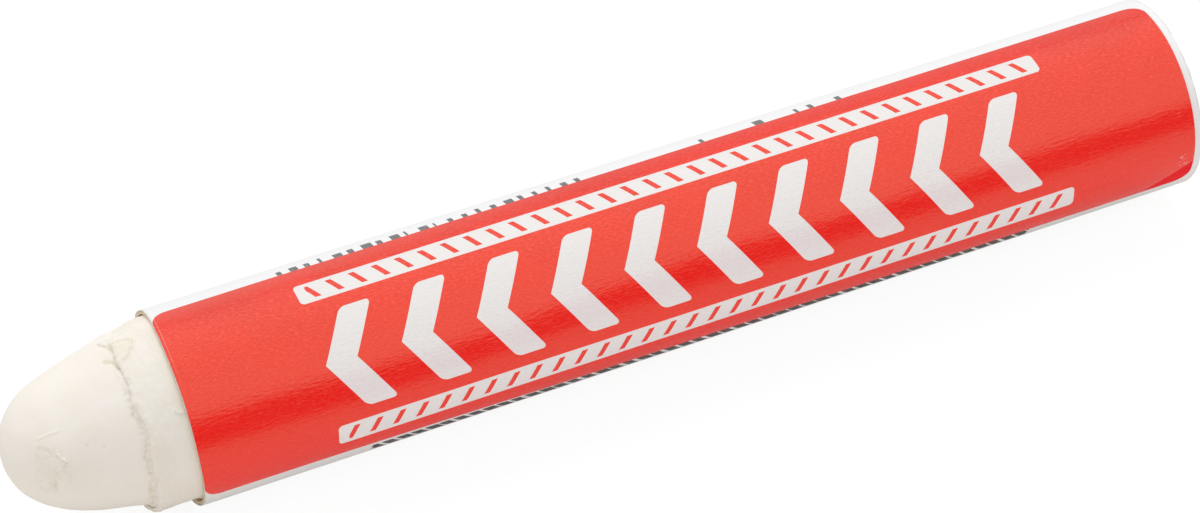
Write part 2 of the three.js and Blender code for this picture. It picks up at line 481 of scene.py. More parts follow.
def paint_profile():
    """From the middle of the rear face to the tip. The steps are fine from behind the collar on."""
    face_step = 0.9
    edge = REAR_EDGE - SKIN_THICKNESS - SKIN_BOND
    rear = [(CORE_REAR, radius) for radius in spaced(0, CORE_RADIUS - edge, face_step)]
    rear += quarter_round(CORE_REAR, CORE_RADIUS, edge)[1:]
    body_start = CORE_REAR - edge - 0.4
    body_end = RIM - COLLAR_AHEAD + 1.0
    body = [(x, CORE_RADIUS) for x in spaced(body_start, body_end, BODY_STEP)]
    fine_start = COLLAR_AHEAD - 0.8
    ball_start = RIM - TIP - TIP_RADIUS * 0.6
    fine = spaced(fine_start, ball_start, NOSE_STEP)
    nose = [(RIM - ahead, radius_ahead(ahead)) for ahead in fine]
    first = math.asin(radius_ahead(ball_start) / TIP_RADIUS)
    centre = TIP + TIP_RADIUS
    ball = [
        (centre - TIP_RADIUS * math.cos(turn), TIP_RADIUS * math.sin(turn))
        for turn in spaced(first, 0, NOSE_STEP / TIP_RADIUS)[1:]
    ]
    return rear + body + nose + ball


def beside_tear(spot, ahead, phi):
    """1 in the shallow groove that lies in front of the torn edge, on the lower side."""
    lower_side = smooth_step(-phi, -38, 10)
    off_middle = ahead - torn_ahead(phi) - GROOVE_AHEAD - uneven(spot, 0.2, 1.1)
    return lower_side * bell(off_middle, GROOVE_WIDTH)


def hollow_below(ahead, phi):
    """1 under the nose, next to the collar, where the cone is hollow."""
    low_side = smooth_step(-phi, 58, 92) * (1 - smooth_step(-phi, 118, 150))
    return low_side * (1 - smooth_step(ahead, 4.0, 9.0))


def paint_stick():
    """The core: hand-worn at the nose, with a flaked patch near the tip."""
    bm = turned(paint_profile(), ROUND_STEPS)
    painted_shade_and_tint = bm.verts.layers.float.new("painted_shade_and_tint")
    marks = [(mark, traced(mark.path)) for mark in NOSE_MARKS]
    flake_edge = traced(FLAKE_EDGE)
    flake_middle = traced(FLAKE_MIDDLE)
    worn_side = traced(WORN_SIDE)
    bm.normal_update()
    for vert in bm.verts:
        ahead, _, phi = round_place(vert.co)
        bare = smooth_step(ahead, COLLAR_AHEAD - 0.3, COLLAR_AHEAD + 0.8)
        if bare == 0:
            continue
        spot = vert.co.copy()
        tear = 0.55 + uneven(spot, 0.6, 0.7)
        height, shade = marked(marks, spot, tear)
        height += sum(uneven(spot, *lump) for lump in NOSE_LUMPS)
        patch = smooth_step(near(flake_middle, ragged(spot, *PATCH_RAG), PATCH_WIDTH), 0.3, 0.62)
        crumbs = 0.5 - sum(abs(noise.noise(spot / size)) for size in CRUMB_SIZES)
        height += patch * PATCH_DEPTH * (crumbs - 1)
        height -= HOLLOW_DEPTH * hollow_below(ahead, phi)
        height -= WORN_DEPTH * near(worn_side, spot, WORN_WIDTH)
        groove = beside_tear(spot, ahead, phi)
        height -= groove * (GROOVE_DEPTH + uneven(spot, 0.26, 0.3))
        vert.co = spot + vert.normal * height * bare
        # Painted shade in the groove before the torn edge, over the flaked patch and along the
        # flakes' edges
        shade += groove * (0.38 + uneven(spot, 0.9, 0.33)) + 0.04 * patch
        shade += near(flake_edge, ragged(spot, *TORN), 0.3) * max(0.0, uneven(spot, 1.2, 0.3))
        vert[painted_shade_and_tint] = min(1.0, max(0.0, shade)) * bare
    return bm


def skin_profile():
    """The cup's outline: rear face, outer side, torn edge, then back along the inside.

    The steps get finer towards the torn edge.
    """
    inner = SKIN_RADIUS - SKIN_THICKNESS
    inner_edge = REAR_EDGE - SKIN_THICKNESS
    collar = RIM - COLLAR_AHEAD
    edge_start = collar + 0.06
    rear = [(REAR, radius) for radius in spaced(0, SKIN_RADIUS - REAR_EDGE, 0.35)]
    rear += quarter_round(REAR, SKIN_RADIUS, REAR_EDGE)[1:]
    outer = [(x, SKIN_RADIUS) for x in spaced(REAR - REAR_EDGE - 0.5, RIM + 2.5, 1.3)]
    outer += [(x, SKIN_RADIUS) for x in spaced(RIM + 1.8, collar + 0.75, 0.19)]
    outer += [(x, SKIN_RADIUS) for x in spaced(collar + 0.6, edge_start, 0.09)]
    lip = SKIN_THICKNESS / 2
    lip_reach = 0.12
    turns = [index / CORNER_STEPS * math.pi for index in range(1, CORNER_STEPS)]
    edge = [
        (edge_start - lip_reach * math.sin(turn), inner + lip + lip * math.cos(turn))
        for turn in turns
    ]
    inside = [(x, inner) for x in spaced(edge_start, RIM, 0.9)]
    inside += [(x, inner) for x in spaced(RIM + 6, REAR - REAR_EDGE - 0.1, 12)]
    face = REAR - SKIN_THICKNESS
    closing = quarter_round(face, inner, inner_edge)[::-1]
    closing += [(face, radius) for radius in spaced(inner - inner_edge, 0, 1.6)[1:]]
    return rear + outer + edge + inside + closing


def skin_swelling(ahead, phi):
    """How far the crust stands out at the rim: a swell on the camera's side, a plug elsewhere."""
    outside = ahead + rim_slant(phi)
    swell = smooth_step(outside, -1.2, -0.5) * smooth_step(-ahead, -2.8, 0.0)
    plug = smooth_step(-outside, 0.1, 0.36) * (1 - smooth_step(-outside, 1.0, 1.5))
    pocket = smooth_step(-phi, 76, 92) * bell(ahead, 1.3)
    return SWELL * facing(phi) * swell + PLUG * (1 - facing(phi)) * plug - POCKET * pocket


def skin_top(spot, ahead, phi, behind_edge):
    """How far the crust's outer side stands off its plain round, apart from its marks."""
    free = smooth_step(ahead, 0.1, 0.9)
    top = free * sum(uneven(spot, *lump) for lump in SKIN_LUMPS)
    ridges = Vector((spot.x / 14, spot.y / 2.2, spot.z / 2.2))
    top += uneven(ridges, 0.02, 1.0)
    curl = bell(behind_edge - 0.4, 0.3) * free * (1 - worn_top(phi))
    top += curl * (CURL + uneven(spot, 0.06, 0.7) + uneven(spot, 0.05, 0.3))
    top += COLLAR_LUMP * bell(ahead - 2.4, 1.2) * bell(within_half_turn(phi + 96), 17)
    top -= bell(behind_edge, 0.24) * (THINNED + uneven(spot, 0.12, 0.4))
    return top + skin_swelling(ahead, phi)


def hollow_rear_face(vert):
    """Makes the crust's rear face a shallow rough dish."""
    _, radius, _ = round_place(vert.co)
    dish = max(0.0, 1 - (radius / (SKIN_RADIUS - REAR_EDGE)) ** 2)
    rough = uneven(vert.co, 1.0, 1.6) + uneven(vert.co, 0.5, 0.6)
    vert.co.x -= dish * (REAR_DISH + 0.05 * rough)


def dried_skin():
    """The dried crust round the paint, torn off along the collar."""
    bm = turned(skin_profile(), ROUND_STEPS)
    painted_shade_and_tint = bm.verts.layers.float.new("painted_shade_and_tint")
    lift = SKIN_RADIUS - CORE_RADIUS
    marks = [(mark, traced(mark.path, lift)) for mark in SKIN_MARKS]
    inner = SKIN_RADIUS - SKIN_THICKNESS - 0.01
    nose_start = COLLAR_AHEAD - 1.2
    for vert in bm.verts:
        ahead, radius, phi = round_place(vert.co)
        if ahead < SKIN_THICKNESS - TUBE_LENGTH:
            if vert.co.x > REAR - 0.001:
                hollow_rear_face(vert)
            continue
        share = min(1.0, max(0.0, (radius - SKIN_RADIUS) / SKIN_THICKNESS + 1))
        spot = vert.co.copy()
        spot.x -= (torn_ahead(phi) - COLLAR_AHEAD) * smooth_step(ahead, 0.4, COLLAR_AHEAD)
        behind_edge = max(0.0, COLLAR_AHEAD + 0.06 - ahead)
        height, shade = marked(marks, spot, 1.0)
        top = height + skin_top(spot, ahead, phi, behind_edge)
        down = RUBBED * worn_top(phi) * smooth_step(ahead, 0.0, COLLAR_AHEAD)
        paint = radius_ahead(RIM - spot.x) - 0.05
        base = inner + (paint - inner) * smooth_step(ahead, nose_start, COLLAR_AHEAD - 0.2)
        level = base + share * (SKIN_RADIUS + top - base) - down
        if share < 0.5 and ahead < nose_start:
            level = radius
        away = Vector((0, spot.y, spot.z)).normalized()
        vert.co = Vector((spot.x, 0, 0)) + away * level
        # Painted shade on the collar next to the rim
        shade += 0.35 * math.exp(-abs(ahead) / 0.5)
        vert[painted_shade_and_tint] = min(1.0, shade * share)
    return bm


# The papers, made flat with their thickness and then rolled

def flat_sheet(length, width, thickness, columns, rows):
    """A flat sheet: its length along X, its width along Y and its thickness up Z."""
    bm = bmesh.new()
    bmesh.ops.create_grid(bm, x_segments=columns, y_segments=rows, size=0.5)
    bmesh.ops.translate(bm, vec=(0.5, 0.5, 0), verts=bm.verts)
    bmesh.ops.scale(bm, vec=(length, width, 1), verts=bm.verts)
    thicken(bm, thickness)
    return bm


def thicken(bm, thickness):
    """Gives a flat sheet its thickness."""
    lifted = bmesh.ops.extrude_face_region(bm, geom=bm.faces[:], use_keep_orig=True)
    top = [part for part in lifted["geom"] if isinstance(part, bmesh.types.BMVert)]
    bmesh.ops.translate(bm, vec=(0, 0, thickness), verts=top)


def cut_across(bm, place, direction):
    """Cuts every face along one plane, without taking anything away."""
    parts = bm.verts[:] + bm.edges[:] + bm.faces[:]
    bmesh.ops.bisect_plane(bm, geom=parts, dist=0.0001, plane_co=place, plane_no=direction)


def paper_wave(x, angle):
    """How far the rolled paper stands off its true round, in slow waves."""
    spot = on_round(x * 0.35, WRAP_RADIUS, angle)
    return 0.022 + uneven(spot, 0.02, 3.2)


def rim_wave(share, angle, amount):
    """How far a cut rim runs to one side at that angle. share is 1 at the rim and 0 away from it."""
    spot = on_round(0, WRAP_RADIUS, angle)
    return share * amount * (uneven(spot, 1.0, 4.0) + uneven(spot, 0.4, 0.9))


def roll(bm, path, front, length, wave=0.0, rim_amount=0.0, slant=1.0):
    """Rolls a flat sheet round the axis, and keeps its flat places in the attribute sheet.

    path gives the angle, the inner radius and the distance from the label's middle line, for a
    distance along the sheet's width. wave, rim_amount and slant say how much of the paper's
    waves, of the rims' waves and of the front rim's slant the sheet takes.
    """
    sheet = bm.verts.layers.float_vector.new("sheet")
    rim_reach = 2.5
    slant_reach = 6
    rear_turn = 77
    for vert in bm.verts:
        along, across, height = vert.co
        angle, radius, flat_across = path(across)
        vert[sheet] = (along, flat_across, height)
        to_front = 1 - smooth_step(along, 0, rim_reach)
        to_rear = smooth_step(along, length - rim_reach, length)
        shift = rim_wave(to_front, angle, rim_amount)
        shift += rim_wave(to_rear, angle + rear_turn, rim_amount)
        slanted = slant * rim_slant(within_half_turn(angle - CAMERA_SIDE))
        shift += slanted * (1 - smooth_step(along, 0, slant_reach))
        out = radius + height + wave * paper_wave(front + along, angle)
        vert.co = on_round(front + along + shift, out, angle)
    bmesh.ops.recalc_face_normals(bm, faces=bm.faces)


def degrees_along(distance, radius):
    """The angle that a length of paper covers at that radius."""
    return math.degrees(distance / radius)


def kraft_tube():
    """Nearly two turns of brown paper, with the inner edge at its seam."""
    pitch = KRAFT_THICKNESS + GLUE
    bore = KRAFT_RADIUS - 2 * KRAFT_THICKNESS - GLUE
    middle = bore + pitch
    width = math.radians(2 * FULL_TURN - KRAFT_OPEN) * middle
    bm = flat_sheet(TUBE_LENGTH, width, KRAFT_THICKNESS, 70, 420)

    def path(across):
        turned_by = degrees_along(across, middle)
        climb = smooth_step(turned_by, FULL_TURN - CLIMB, FULL_TURN)
        return KRAFT_SEAM + turned_by, bore + pitch * climb, across

    roll(bm, path, RIM, TUBE_LENGTH, rim_amount=0.03)
    return bm


def white_wrap():
    """One turn of coated white paper, lapped over its own start at the back."""
    inner = WRAP_RADIUS - WRAP_THICKNESS
    middle = inner + WRAP_THICKNESS / 2
    width = math.radians(FULL_TURN + WRAP_LAP) * middle
    bm = flat_sheet(TUBE_LENGTH, width, WRAP_THICKNESS, 150, 330)
    under_label = LABEL_CENTRE + FULL_TURN

    def path(across):
        turned_by = degrees_along(across, middle)
        climb = smooth_step(turned_by, FULL_TURN - CLIMB, FULL_TURN)
        angle = WRAP_SEAM + turned_by
        from_label = math.radians(angle - under_label) * middle
        return angle, inner + (WRAP_THICKNESS + GLUE) * climb, from_label

    roll(bm, path, RIM, TUBE_LENGTH, wave=1.0, rim_amount=0.05)
    return bm


def red_label():
    """The red label under its clear film, with round corners, narrower at its lower front."""
    bm = bmesh.new()
    bmesh.ops.create_grid(bm, x_segments=1, y_segments=1, size=0.5)
    width = LABEL_WIDTH - LABEL_LOWER_TRIM - LABEL_UPPER_TRIM
    bmesh.ops.scale(bm, vec=(LABEL_LENGTH, width, 1), verts=bm.verts)
    bmesh.ops.bevel(
        bm, geom=bm.verts[:], offset=LABEL_CORNER, offset_type="OFFSET", affect="VERTICES",
        segments=8, profile=0.5, material=-1,
    )
    shift = (LABEL_LOWER_TRIM - LABEL_UPPER_TRIM) / 2
    bmesh.ops.translate(bm, vec=(LABEL_LENGTH / 2, shift, 0), verts=bm.verts)
    for across in spaced(-LABEL_WIDTH / 2, LABEL_WIDTH / 2, 0.33)[1:-1]:
        cut_across(bm, (0, across, 0), (0, 1, 0))
    for along in spaced(0, LABEL_LENGTH, 0.8)[1:-1]:
        cut_across(bm, (along, 0, 0), (1, 0, 0))
    for vert in bm.verts:
        to_front = 1 - smooth_step(vert.co.x, 8, 44)
        vert.co.y += LABEL_FRONT_TRIM * to_front * smooth_step(-vert.co.y, 2, 11)
    thicken(bm, LABEL_THICKNESS)
    inner = LABEL_RADIUS - LABEL_THICKNESS
    middle = inner + LABEL_THICKNESS / 2

    def path(across):
        return LABEL_CENTRE + degrees_along(across, middle), inner, across

    roll(bm, path, LABEL_FRONT, LABEL_LENGTH, wave=1.0, slant=0.75)
    return bm


# Finishes

class Value:
    """A number that changes over a surface, written in sums as a plain number is."""

    def __init__(self, finish, socket):
        self.finish = finish
        self.socket = socket

    def math(self, operation, *values):
        return self.finish.node("ShaderNodeMath", {"operation": operation}, dict(enumerate(values)))

    def __add__(self, other):
        return self.math("ADD", self, other)

    def __radd__(self, other):
        return self.math("ADD", other, self)

    def __sub__(self, other):
        return self.math("SUBTRACT", self, other)

    def __rsub__(self, other):
        return self.math("SUBTRACT", other, self)

    def __mul__(self, other):
        return self.math("MULTIPLY", self, other)

    def __rmul__(self, other):
        return self.math("MULTIPLY", other, self)

    def __truediv__(self, other):
        return self.math("DIVIDE", self, other)

    def __gt__(self, other):
        return self.math("GREATER_THAN", self, other)

    def __lt__(self, other):
        return self.math("LESS_THAN", self, other)

    def __abs__(self):
        return self.math("ABSOLUTE", self)

    def floor(self):
        return self.math("FLOOR", self)

    def part(self):
        """What is left above the whole number below."""
        return self.math("FRACT", self)

    def at_least(self, other):
        return self.math("MAXIMUM", self, other)

    def at_most(self, other):
        return self.math("MINIMUM", self, other)

    def root(self):
        return self.math("SQRT", self)


class Finish:
    """One material: a Principled surface and the nodes that feed it."""

    def __init__(self, name, **plain):
        self.material = bpy.data.materials.new(name)
        self.material.use_nodes = True
        self.tree = self.material.node_tree
        self.surface = self.tree.nodes["Principled BSDF"]
        for socket, value in plain.items():
            self.surface.inputs[socket.replace("_", " ")].default_value = value

    def node(self, kind, settings=None, sockets=None, out=0):
        """Adds a node: its settings first, then its sockets' values or links."""
        made = self.tree.nodes.new(kind)
        for name, value in (settings or {}).items():
            setattr(made, name, value)
        for key, value in (sockets or {}).items():
            self.feed(made.inputs[key], value)
        return Value(self, made.outputs[out])

    def feed(self, socket, value):
        """Links a value to a socket, or sets the socket's own value."""
        if isinstance(value, Value):
            self.tree.links.new(value.socket, socket)
        else:
            socket.default_value = value

    def set(self, socket, value):
        """Feeds one of the surface's own sockets."""
        self.feed(self.surface.inputs[socket], value)

    def dull_where(self, mask, colour):
        """Puts a plain surface with little shine over the finish, where the mask is 1."""
        dull = self.tree.nodes.new("ShaderNodeBsdfPrincipled")
        dull.inputs["Base Color"].default_value = colour
        dull.inputs["Roughness"].default_value = 0.5
        dull.inputs["Specular IOR Level"].default_value = 0.12
        both = self.tree.nodes.new("ShaderNodeMixShader")
        self.feed(both.inputs[0], mask)
        self.tree.links.new(self.surface.outputs[0], both.inputs[1])
        self.tree.links.new(dull.outputs[0], both.inputs[2])
        output = self.tree.nodes["Material Output"]
        self.tree.links.new(both.outputs[0], output.inputs["Surface"])

    def places(self):
        """Object coordinates in metres."""
        return self.node("ShaderNodeTexCoord", out="Object")

    def attribute(self, name, out):
        """One of the piece's own vertex attributes."""
        return self.node("ShaderNodeAttribute", {"attribute_name": name}, out=out)

    def along_and_across(self, sheet):
        """The first two parts of a paper's flat places."""
        parts = self.node("ShaderNodeSeparateXYZ", None, {"Vector": sheet}).socket.node.outputs
        return Value(self, parts[0]), Value(self, parts[1])

    def stretched(self, places, scale):
        """The places scaled along each axis, for a pattern longer one way than the other."""
        return self.node("ShaderNodeMapping", None, {"Vector": places, "Scale": scale})

    def mottle(self, places, scale, detail=3.0, roughness=0.5):
        """Soft noise between 0 and 1."""
        sockets = {"Vector": places, "Scale": scale, "Detail": detail, "Roughness": roughness}
        return self.node("ShaderNodeTexNoise", None, sockets)

    def step(self, value, low, high):
        """0 below low, 1 above high, smooth in between."""
        sockets = {"Value": value, "From Min": low, "From Max": high}
        return self.node("ShaderNodeMapRange", {"interpolation_type": "SMOOTHSTEP"}, sockets)

    def mix(self, mask, under, over):
        """The colour over on top of the colour under, where the mask is 1."""
        settings = {"data_type": "RGBA", "clamp_factor": True}
        return self.node("ShaderNodeMix", settings, {0: mask, 6: under, 7: over}, out=2)

    def chance(self, cell):
        """A fixed random number between 0 and 1 for each whole number."""
        return self.node("ShaderNodeTexWhiteNoise", {"noise_dimensions": "1D"}, {"W": cell})

    def relief(self, height, depth, below=None):
        """Turns a height between 0 and 1 into a bump of that depth in millimetres."""
        sockets = {"Height": height, "Distance": depth * MM, "Strength": 1.0}
        if below:
            sockets["Normal"] = below
        return self.node("ShaderNodeBump", None, sockets)


def paint_finish():
    """Hard dry paint: creamy white, chalky, worn smooth by hand, with painted shade in its cracks.
    """
    finish = Finish("paint", IOR=1.45)
    places = finish.places()
    cloud = finish.mottle(places, 260)
    grain = finish.mottle(places, 4200, detail=4.0, roughness=0.6)
    smears = finish.mottle(finish.stretched(places, (420, 1500, 1500)), 1.0)
    painted_shade_and_tint = finish.attribute("painted_shade_and_tint", "Fac")
    colour = finish.mix(finish.step(cloud, 0.35, 0.7), PAINT_LIGHT, PAINT_WARM)
    colour = finish.mix(finish.step(grain, 0.62, 0.8) * 0.35, colour, PAINT_SPECK)
    # Painted shade in the cracks, pits, grooves and along the flaked edges
    colour = finish.mix(painted_shade_and_tint * 0.6, colour, PAINT_PAINTED_SHADE)
    finish.set("Base Color", colour)
    finish.set("Roughness", 0.5 + 0.22 * smears)
    dents = finish.relief(cloud, 0.06)
    rubbed = finish.relief(smears, 0.03, dents)
    finish.set("Normal", finish.relief(grain, 0.012, rubbed))
    return finish.material


def skin_finish():
    """The dried crust: a little yellower and duller than the paint, with fine wrinkles and painted
    shade.
    """
    finish = Finish("dried_paint", IOR=1.45)
    places = finish.places()
    cloud = finish.mottle(places, 330)
    grain = finish.mottle(places, 5000, detail=4.0, roughness=0.65)
    wrinkles = finish.mottle(finish.stretched(places, (2600, 700, 700)), 1.0)
    painted_shade_and_tint = finish.attribute("painted_shade_and_tint", "Fac")
    colour = finish.mix(finish.step(cloud, 0.35, 0.7), SKIN_LIGHT, SKIN_WARM)
    colour = finish.mix(finish.step(grain, 0.62, 0.8) * 0.3, colour, PAINT_SPECK)
    # Painted shade by the rim and along the flap's rim, and the flap's yellower tint
    colour = finish.mix(painted_shade_and_tint * 0.5, colour, SKIN_PAINTED_SHADE_AND_TINT)
    finish.set("Base Color", colour)
    finish.set("Roughness", 0.52 + 0.2 * wrinkles)
    dents = finish.relief(cloud, 0.09)
    wrinkled = finish.relief(wrinkles, 0.13, dents)
    finish.set("Normal", finish.relief(grain, 0.02, wrinkled))
    return finish.material


def kraft_finish():
    """Brown paper, fibres along the roll, with painted light making it paler by its cut rims."""
    finish = Finish("kraft_paper", IOR=1.45)
    sheet = finish.attribute("sheet", "Vector")
    fibres = finish.mottle(finish.stretched(sheet, (0.9, 6.0, 6.0)), 1.0, detail=4.0, roughness=0.6)
    flecks = finish.mottle(finish.stretched(sheet, (2.5, 9.0, 9.0)), 1.0, detail=2.0)
    cloud = finish.mottle(sheet, 0.35)
    colour = finish.mix(finish.step(fibres, 0.3, 0.7), KRAFT_DARK, KRAFT_LIGHT)
    colour = finish.mix(finish.step(cloud, 0.4, 0.7) * 0.35, colour, KRAFT_DARK)
    colour = finish.mix(finish.step(flecks, 0.68, 0.8) * 0.6, colour, KRAFT_FLECK)
    along, _ = finish.along_and_across(sheet)
    from_rim = along.at_most(TUBE_LENGTH - along)
    # Painted light: paler near the cut rims, where the gap round the stick lies in shade
    colour = finish.mix((1.0 - finish.step(from_rim, 0.1, 1.8)) * 0.9, colour, KRAFT_RIM_PAINTED_LIGHT)
    colour = finish.mix(1.0 - finish.step(from_rim, 0.01, 0.12), colour, KRAFT_CUT)
    finish.set("Base Color", colour)
    finish.set("Roughness", 0.78 + 0.15 * fibres)
    finish.set("Normal", finish.relief(fibres, 0.03))
    return finish.material


def film_ripples(finish, sheet):
    """The clear film's fine ripples, long and short: streaks along the marker."""
    long_ripples = finish.mottle(finish.stretched(sheet, (0.75, 4.4, 1.0)), 1.0, detail=2.0)
    short_ripples = finish.mottle(finish.stretched(sheet, (2.2, 9.0, 1.0)), 1.0)
    return long_ripples, short_ripples


def inside_box(finish, along, across, half_length, half_width, corner):
    """1 inside a rectangle with round corners, from distances to its middle lines."""
    soft = 0.03
    beyond_length = (abs(along) - (half_length - corner)).at_least(0.0)
    beyond_width = (abs(across) - (half_width - corner)).at_least(0.0)
    distance = (beyond_length * beyond_length + beyond_width * beyond_width).root()
    return 1.0 - finish.step(distance, corner - soft, corner + soft)


def chevrons(finish, along, across):
    """A row of arrowheads that point to the tip."""
    half_stroke = CHEVRON_STROKE / 2
    cell = (along - CHEVRON_START - abs(across) * CHEVRON_SLOPE) / CHEVRON_PITCH
    from_middle = cell.part() * CHEVRON_PITCH - half_stroke - CHEVRON_INSET
    stroke = inside_box(
        finish, from_middle, across, half_stroke, CHEVRON_HEIGHT / 2, CHEVRON_CORNER
    )
    in_row = (cell > 0.0) * (cell < float(CHEVRON_COUNT))
    return stroke * in_row


def hatched_bars(finish, along, across):
    """A white bar above and below the arrowheads, hatched with slanted red strokes."""
    from_middle = along - (PRINT_START + PRINT_END) / 2
    half_length = (PRINT_END - PRINT_START) / 2
    from_bar = abs(across) - BAR_PLACE
    bar = inside_box(finish, from_middle, from_bar, half_length, BAR_HEIGHT / 2, BAR_CORNER)
    slant = (along + from_bar * HATCH_SLOPE) / HATCH_PITCH
    stroke = abs(slant.part() - 0.5) < HATCH_SHARE / 2
    within = abs(from_bar) < BAR_HEIGHT / 2 - HATCH_MARGIN
    ends = abs(from_middle) < half_length - 1.0
    return bar * (1.0 - stroke * within * ends)


def label_red(finish, along, across, cloud, short_ripples):
    """The red: painted lighter low down, painted sheen and shade on ripples, paler at the top."""
    lower_part = 1.0 - finish.step(across, -4.0, 9.5)
    # Painted light: the red is lighter towards the lower edge
    colour = finish.mix(lower_part, LABEL_RED, LABEL_RED_LOW_PAINTED_LIGHT)
    colour = finish.mix(finish.step(cloud, 0.3, 0.7) * 0.4, colour, LABEL_RED_WARM)
    # Painted sheen along the ripples' crests and painted shade in their troughs
    ripple_sheen = finish.step(short_ripples, 0.49, 0.63) * (0.8 - 0.35 * lower_part)
    colour = finish.mix(ripple_sheen, colour, LABEL_RIPPLE_SHEEN)
    ripple_shade = finish.step(short_ripples, 0.45, 0.34) * (0.4 - 0.25 * lower_part)
    colour = finish.mix(ripple_shade, colour, LABEL_RIPPLE_SHADE)
    near_top = finish.step(across, 8.3, 10.6) * (0.5 - 0.28 * finish.step(along, 8.0, 60.0))
    return finish.mix(near_top, colour, LABEL_PALE), lower_part


def bare_of_film(finish, along, across):
    """1 in the corner beyond the film's slanted cut."""
    cut_along, cut_across_label = FILM_CUT
    toward_along, toward_across = FILM_CUT_ACROSS
    beyond = (along - cut_along) * toward_along + (across - cut_across_label) * toward_across
    return finish.step(beyond, 0.0, 0.05)


def scuffed(finish, along, across, short_ripples):
    """1 in the small scuffs near the label's rear end."""
    off_along = along - SCUFF[0]
    off_across = across - SCUFF[1]
    nearby = off_along * off_along + off_across * off_across < SCUFF_AREA
    return nearby * finish.step(short_ripples, 0.6, 0.68)


def label_finish():
    """Red printed paper under a clear film, with a plain row of arrowheads in white."""
    finish = Finish("label", IOR=1.5, Coat_IOR=1.5, Specular_IOR_Level=0.9)
    finish.set("Specular Tint", FILM_GLOSS)
    sheet = finish.attribute("sheet", "Vector")
    along, across = finish.along_and_across(sheet)
    long_ripples, short_ripples = film_ripples(finish, sheet)
    cloud = finish.mottle(sheet, 0.16, detail=2.0)
    colour, lower_part = label_red(finish, along, across, cloud, short_ripples)
    # Painted light: the print white is lighter towards the lower edge
    white = finish.mix(lower_part, PRINT_WHITE, PRINT_WHITE_LOW_PAINTED_LIGHT)
    # Painted shade of the film's ripples on the print white
    white = finish.mix(finish.step(short_ripples, 0.4, 0.7) * 0.5, white, PRINT_RIPPLE_SHADE)
    printed = chevrons(finish, along, across).at_least(hatched_bars(finish, along, across))
    colour = finish.mix(printed, colour, white)
    # Painted highlight along the film's front edge, on the upper side only
    film_edge_highlight = abs(along - FILM_EDGE_PLACE - 0.1 * cloud) < FILM_EDGE_HALF
    upper = finish.step(across, 1.0, 8.0)
    colour = finish.mix(film_edge_highlight * upper * 0.4, colour, FILM_EDGE_HIGHLIGHT)
    scuffs = scuffed(finish, along, across, short_ripples)
    colour = finish.mix(scuffs * 0.8, colour, PRINT_WHITE)
    finish.set("Base Color", colour)
    finish.set("Roughness", 0.13 + 0.12 * short_ripples)
    finish.set("Coat Weight", 0.35)
    finish.set("Coat Roughness", 0.13)
    waves = finish.relief(long_ripples, 0.04)
    finish.set("Normal", finish.relief(short_ripples, 0.014, waves))
    finish.dull_where(bare_of_film(finish, along, across), CORNER_RED)
    return finish.material


def upper_dashes(finish, along, across):
    """A row of dashes above the label, with a few stray ones behind it."""
    cell = along / DASH_PITCH
    number = cell.floor()
    length = 0.15 + 0.6 * finish.chance(number)
    top = UPPER_DASH_TOP + 0.4 * finish.chance(number + 90.0)
    dash = (cell.part() < length) * (across > 0.0) * (across < top) * 0.85
    start, row_end = UPPER_DASHES
    stray = finish.chance(number + 17.0) < STRAY_CHANCE
    kept = stray.at_least(along < row_end)
    return dash * (along > start) * (along < STRAY_DASHES_END) * kept


def lower_dashes(finish, along, across):
    """A row of slanted dashes below the label."""
    cell = (along + across * LOWER_DASH_SLOPE) / DASH_PITCH
    length = 0.68 + 0.24 * finish.chance(cell.floor() + 40.0)
    dash = (cell.part() < length) * (abs(across + LOWER_DASH_PLACE) < LOWER_DASH_HALF)
    start, end = LOWER_DASHES
    return dash * (along > start) * (along < end)


def ruler(along, across):
    """A plain scale of lines on the back, one each millimetre, longer each fifth and tenth."""
    up = across - RULER_PLACE
    fifth = abs((along / 5.0).part() - 0.5) > 0.48
    tenth = abs((along / 10.0).part() - 0.5) > 0.49
    long_line = 0.9 + 0.6 * fifth + 0.8 * tenth
    line = abs(along.part() - 0.5) > 0.5 - RULER_LINE
    ticks = line * (up > 0.0) * (up < long_line)
    base = abs(up) < 0.07
    start, end = RULER_SPAN
    return ticks.at_least(base) * (along > start) * (along < end)


def wrap_finish():
    """White coated paper with black printing beside the label and a scale on the back."""
    finish = Finish("white_paper", IOR=1.5)
    sheet = finish.attribute("sheet", "Vector")
    along, across = finish.along_and_across(sheet)
    long_ripples, short_ripples = film_ripples(finish, sheet)
    pulp = finish.mottle(sheet, 0.9, detail=4.0)
    colour = finish.mix(finish.step(pulp, 0.3, 0.7), PAPER_WHITE, PAPER_COOL)
    edge_distance = along.at_most(TUBE_LENGTH - along).at_most(LAP_END - across)
    worn = (1.0 - finish.step(edge_distance, 0.02, 0.22)) * finish.step(pulp, 0.35, 0.6)
    colour = finish.mix(worn * 0.45, colour, PAPER_WORN)
    ink = upper_dashes(finish, along, across).at_least(lower_dashes(finish, along, across))
    ink = ink.at_least(ruler(along, across))
    ink = ink * (0.75 + 0.25 * finish.step(short_ripples, 0.3, 0.5))
    colour = finish.mix(ink, colour, INK)
    finish.set("Base Color", colour)
    finish.set("Roughness", 0.34 + 0.14 * short_ripples)
    waves = finish.relief(long_ripples, 0.02)
    finish.set("Normal", finish.relief(short_ripples, 0.008, waves))
    return finish.material


# The studio

def seen_by(tree, *rays):
    """1 for those kinds of ray, and 0 for the rest."""
    path = tree.nodes.new("ShaderNodeLightPath")
    seen = path.outputs[rays[0]]
    for ray in rays[1:]:
        either = tree.nodes.new("ShaderNodeMath")
        either.operation = "MAXIMUM"
        tree.links.new(seen, either.inputs[0])
        tree.links.new(path.outputs[ray], either.inputs[1])
        seen = either.outputs[0]
    return seen


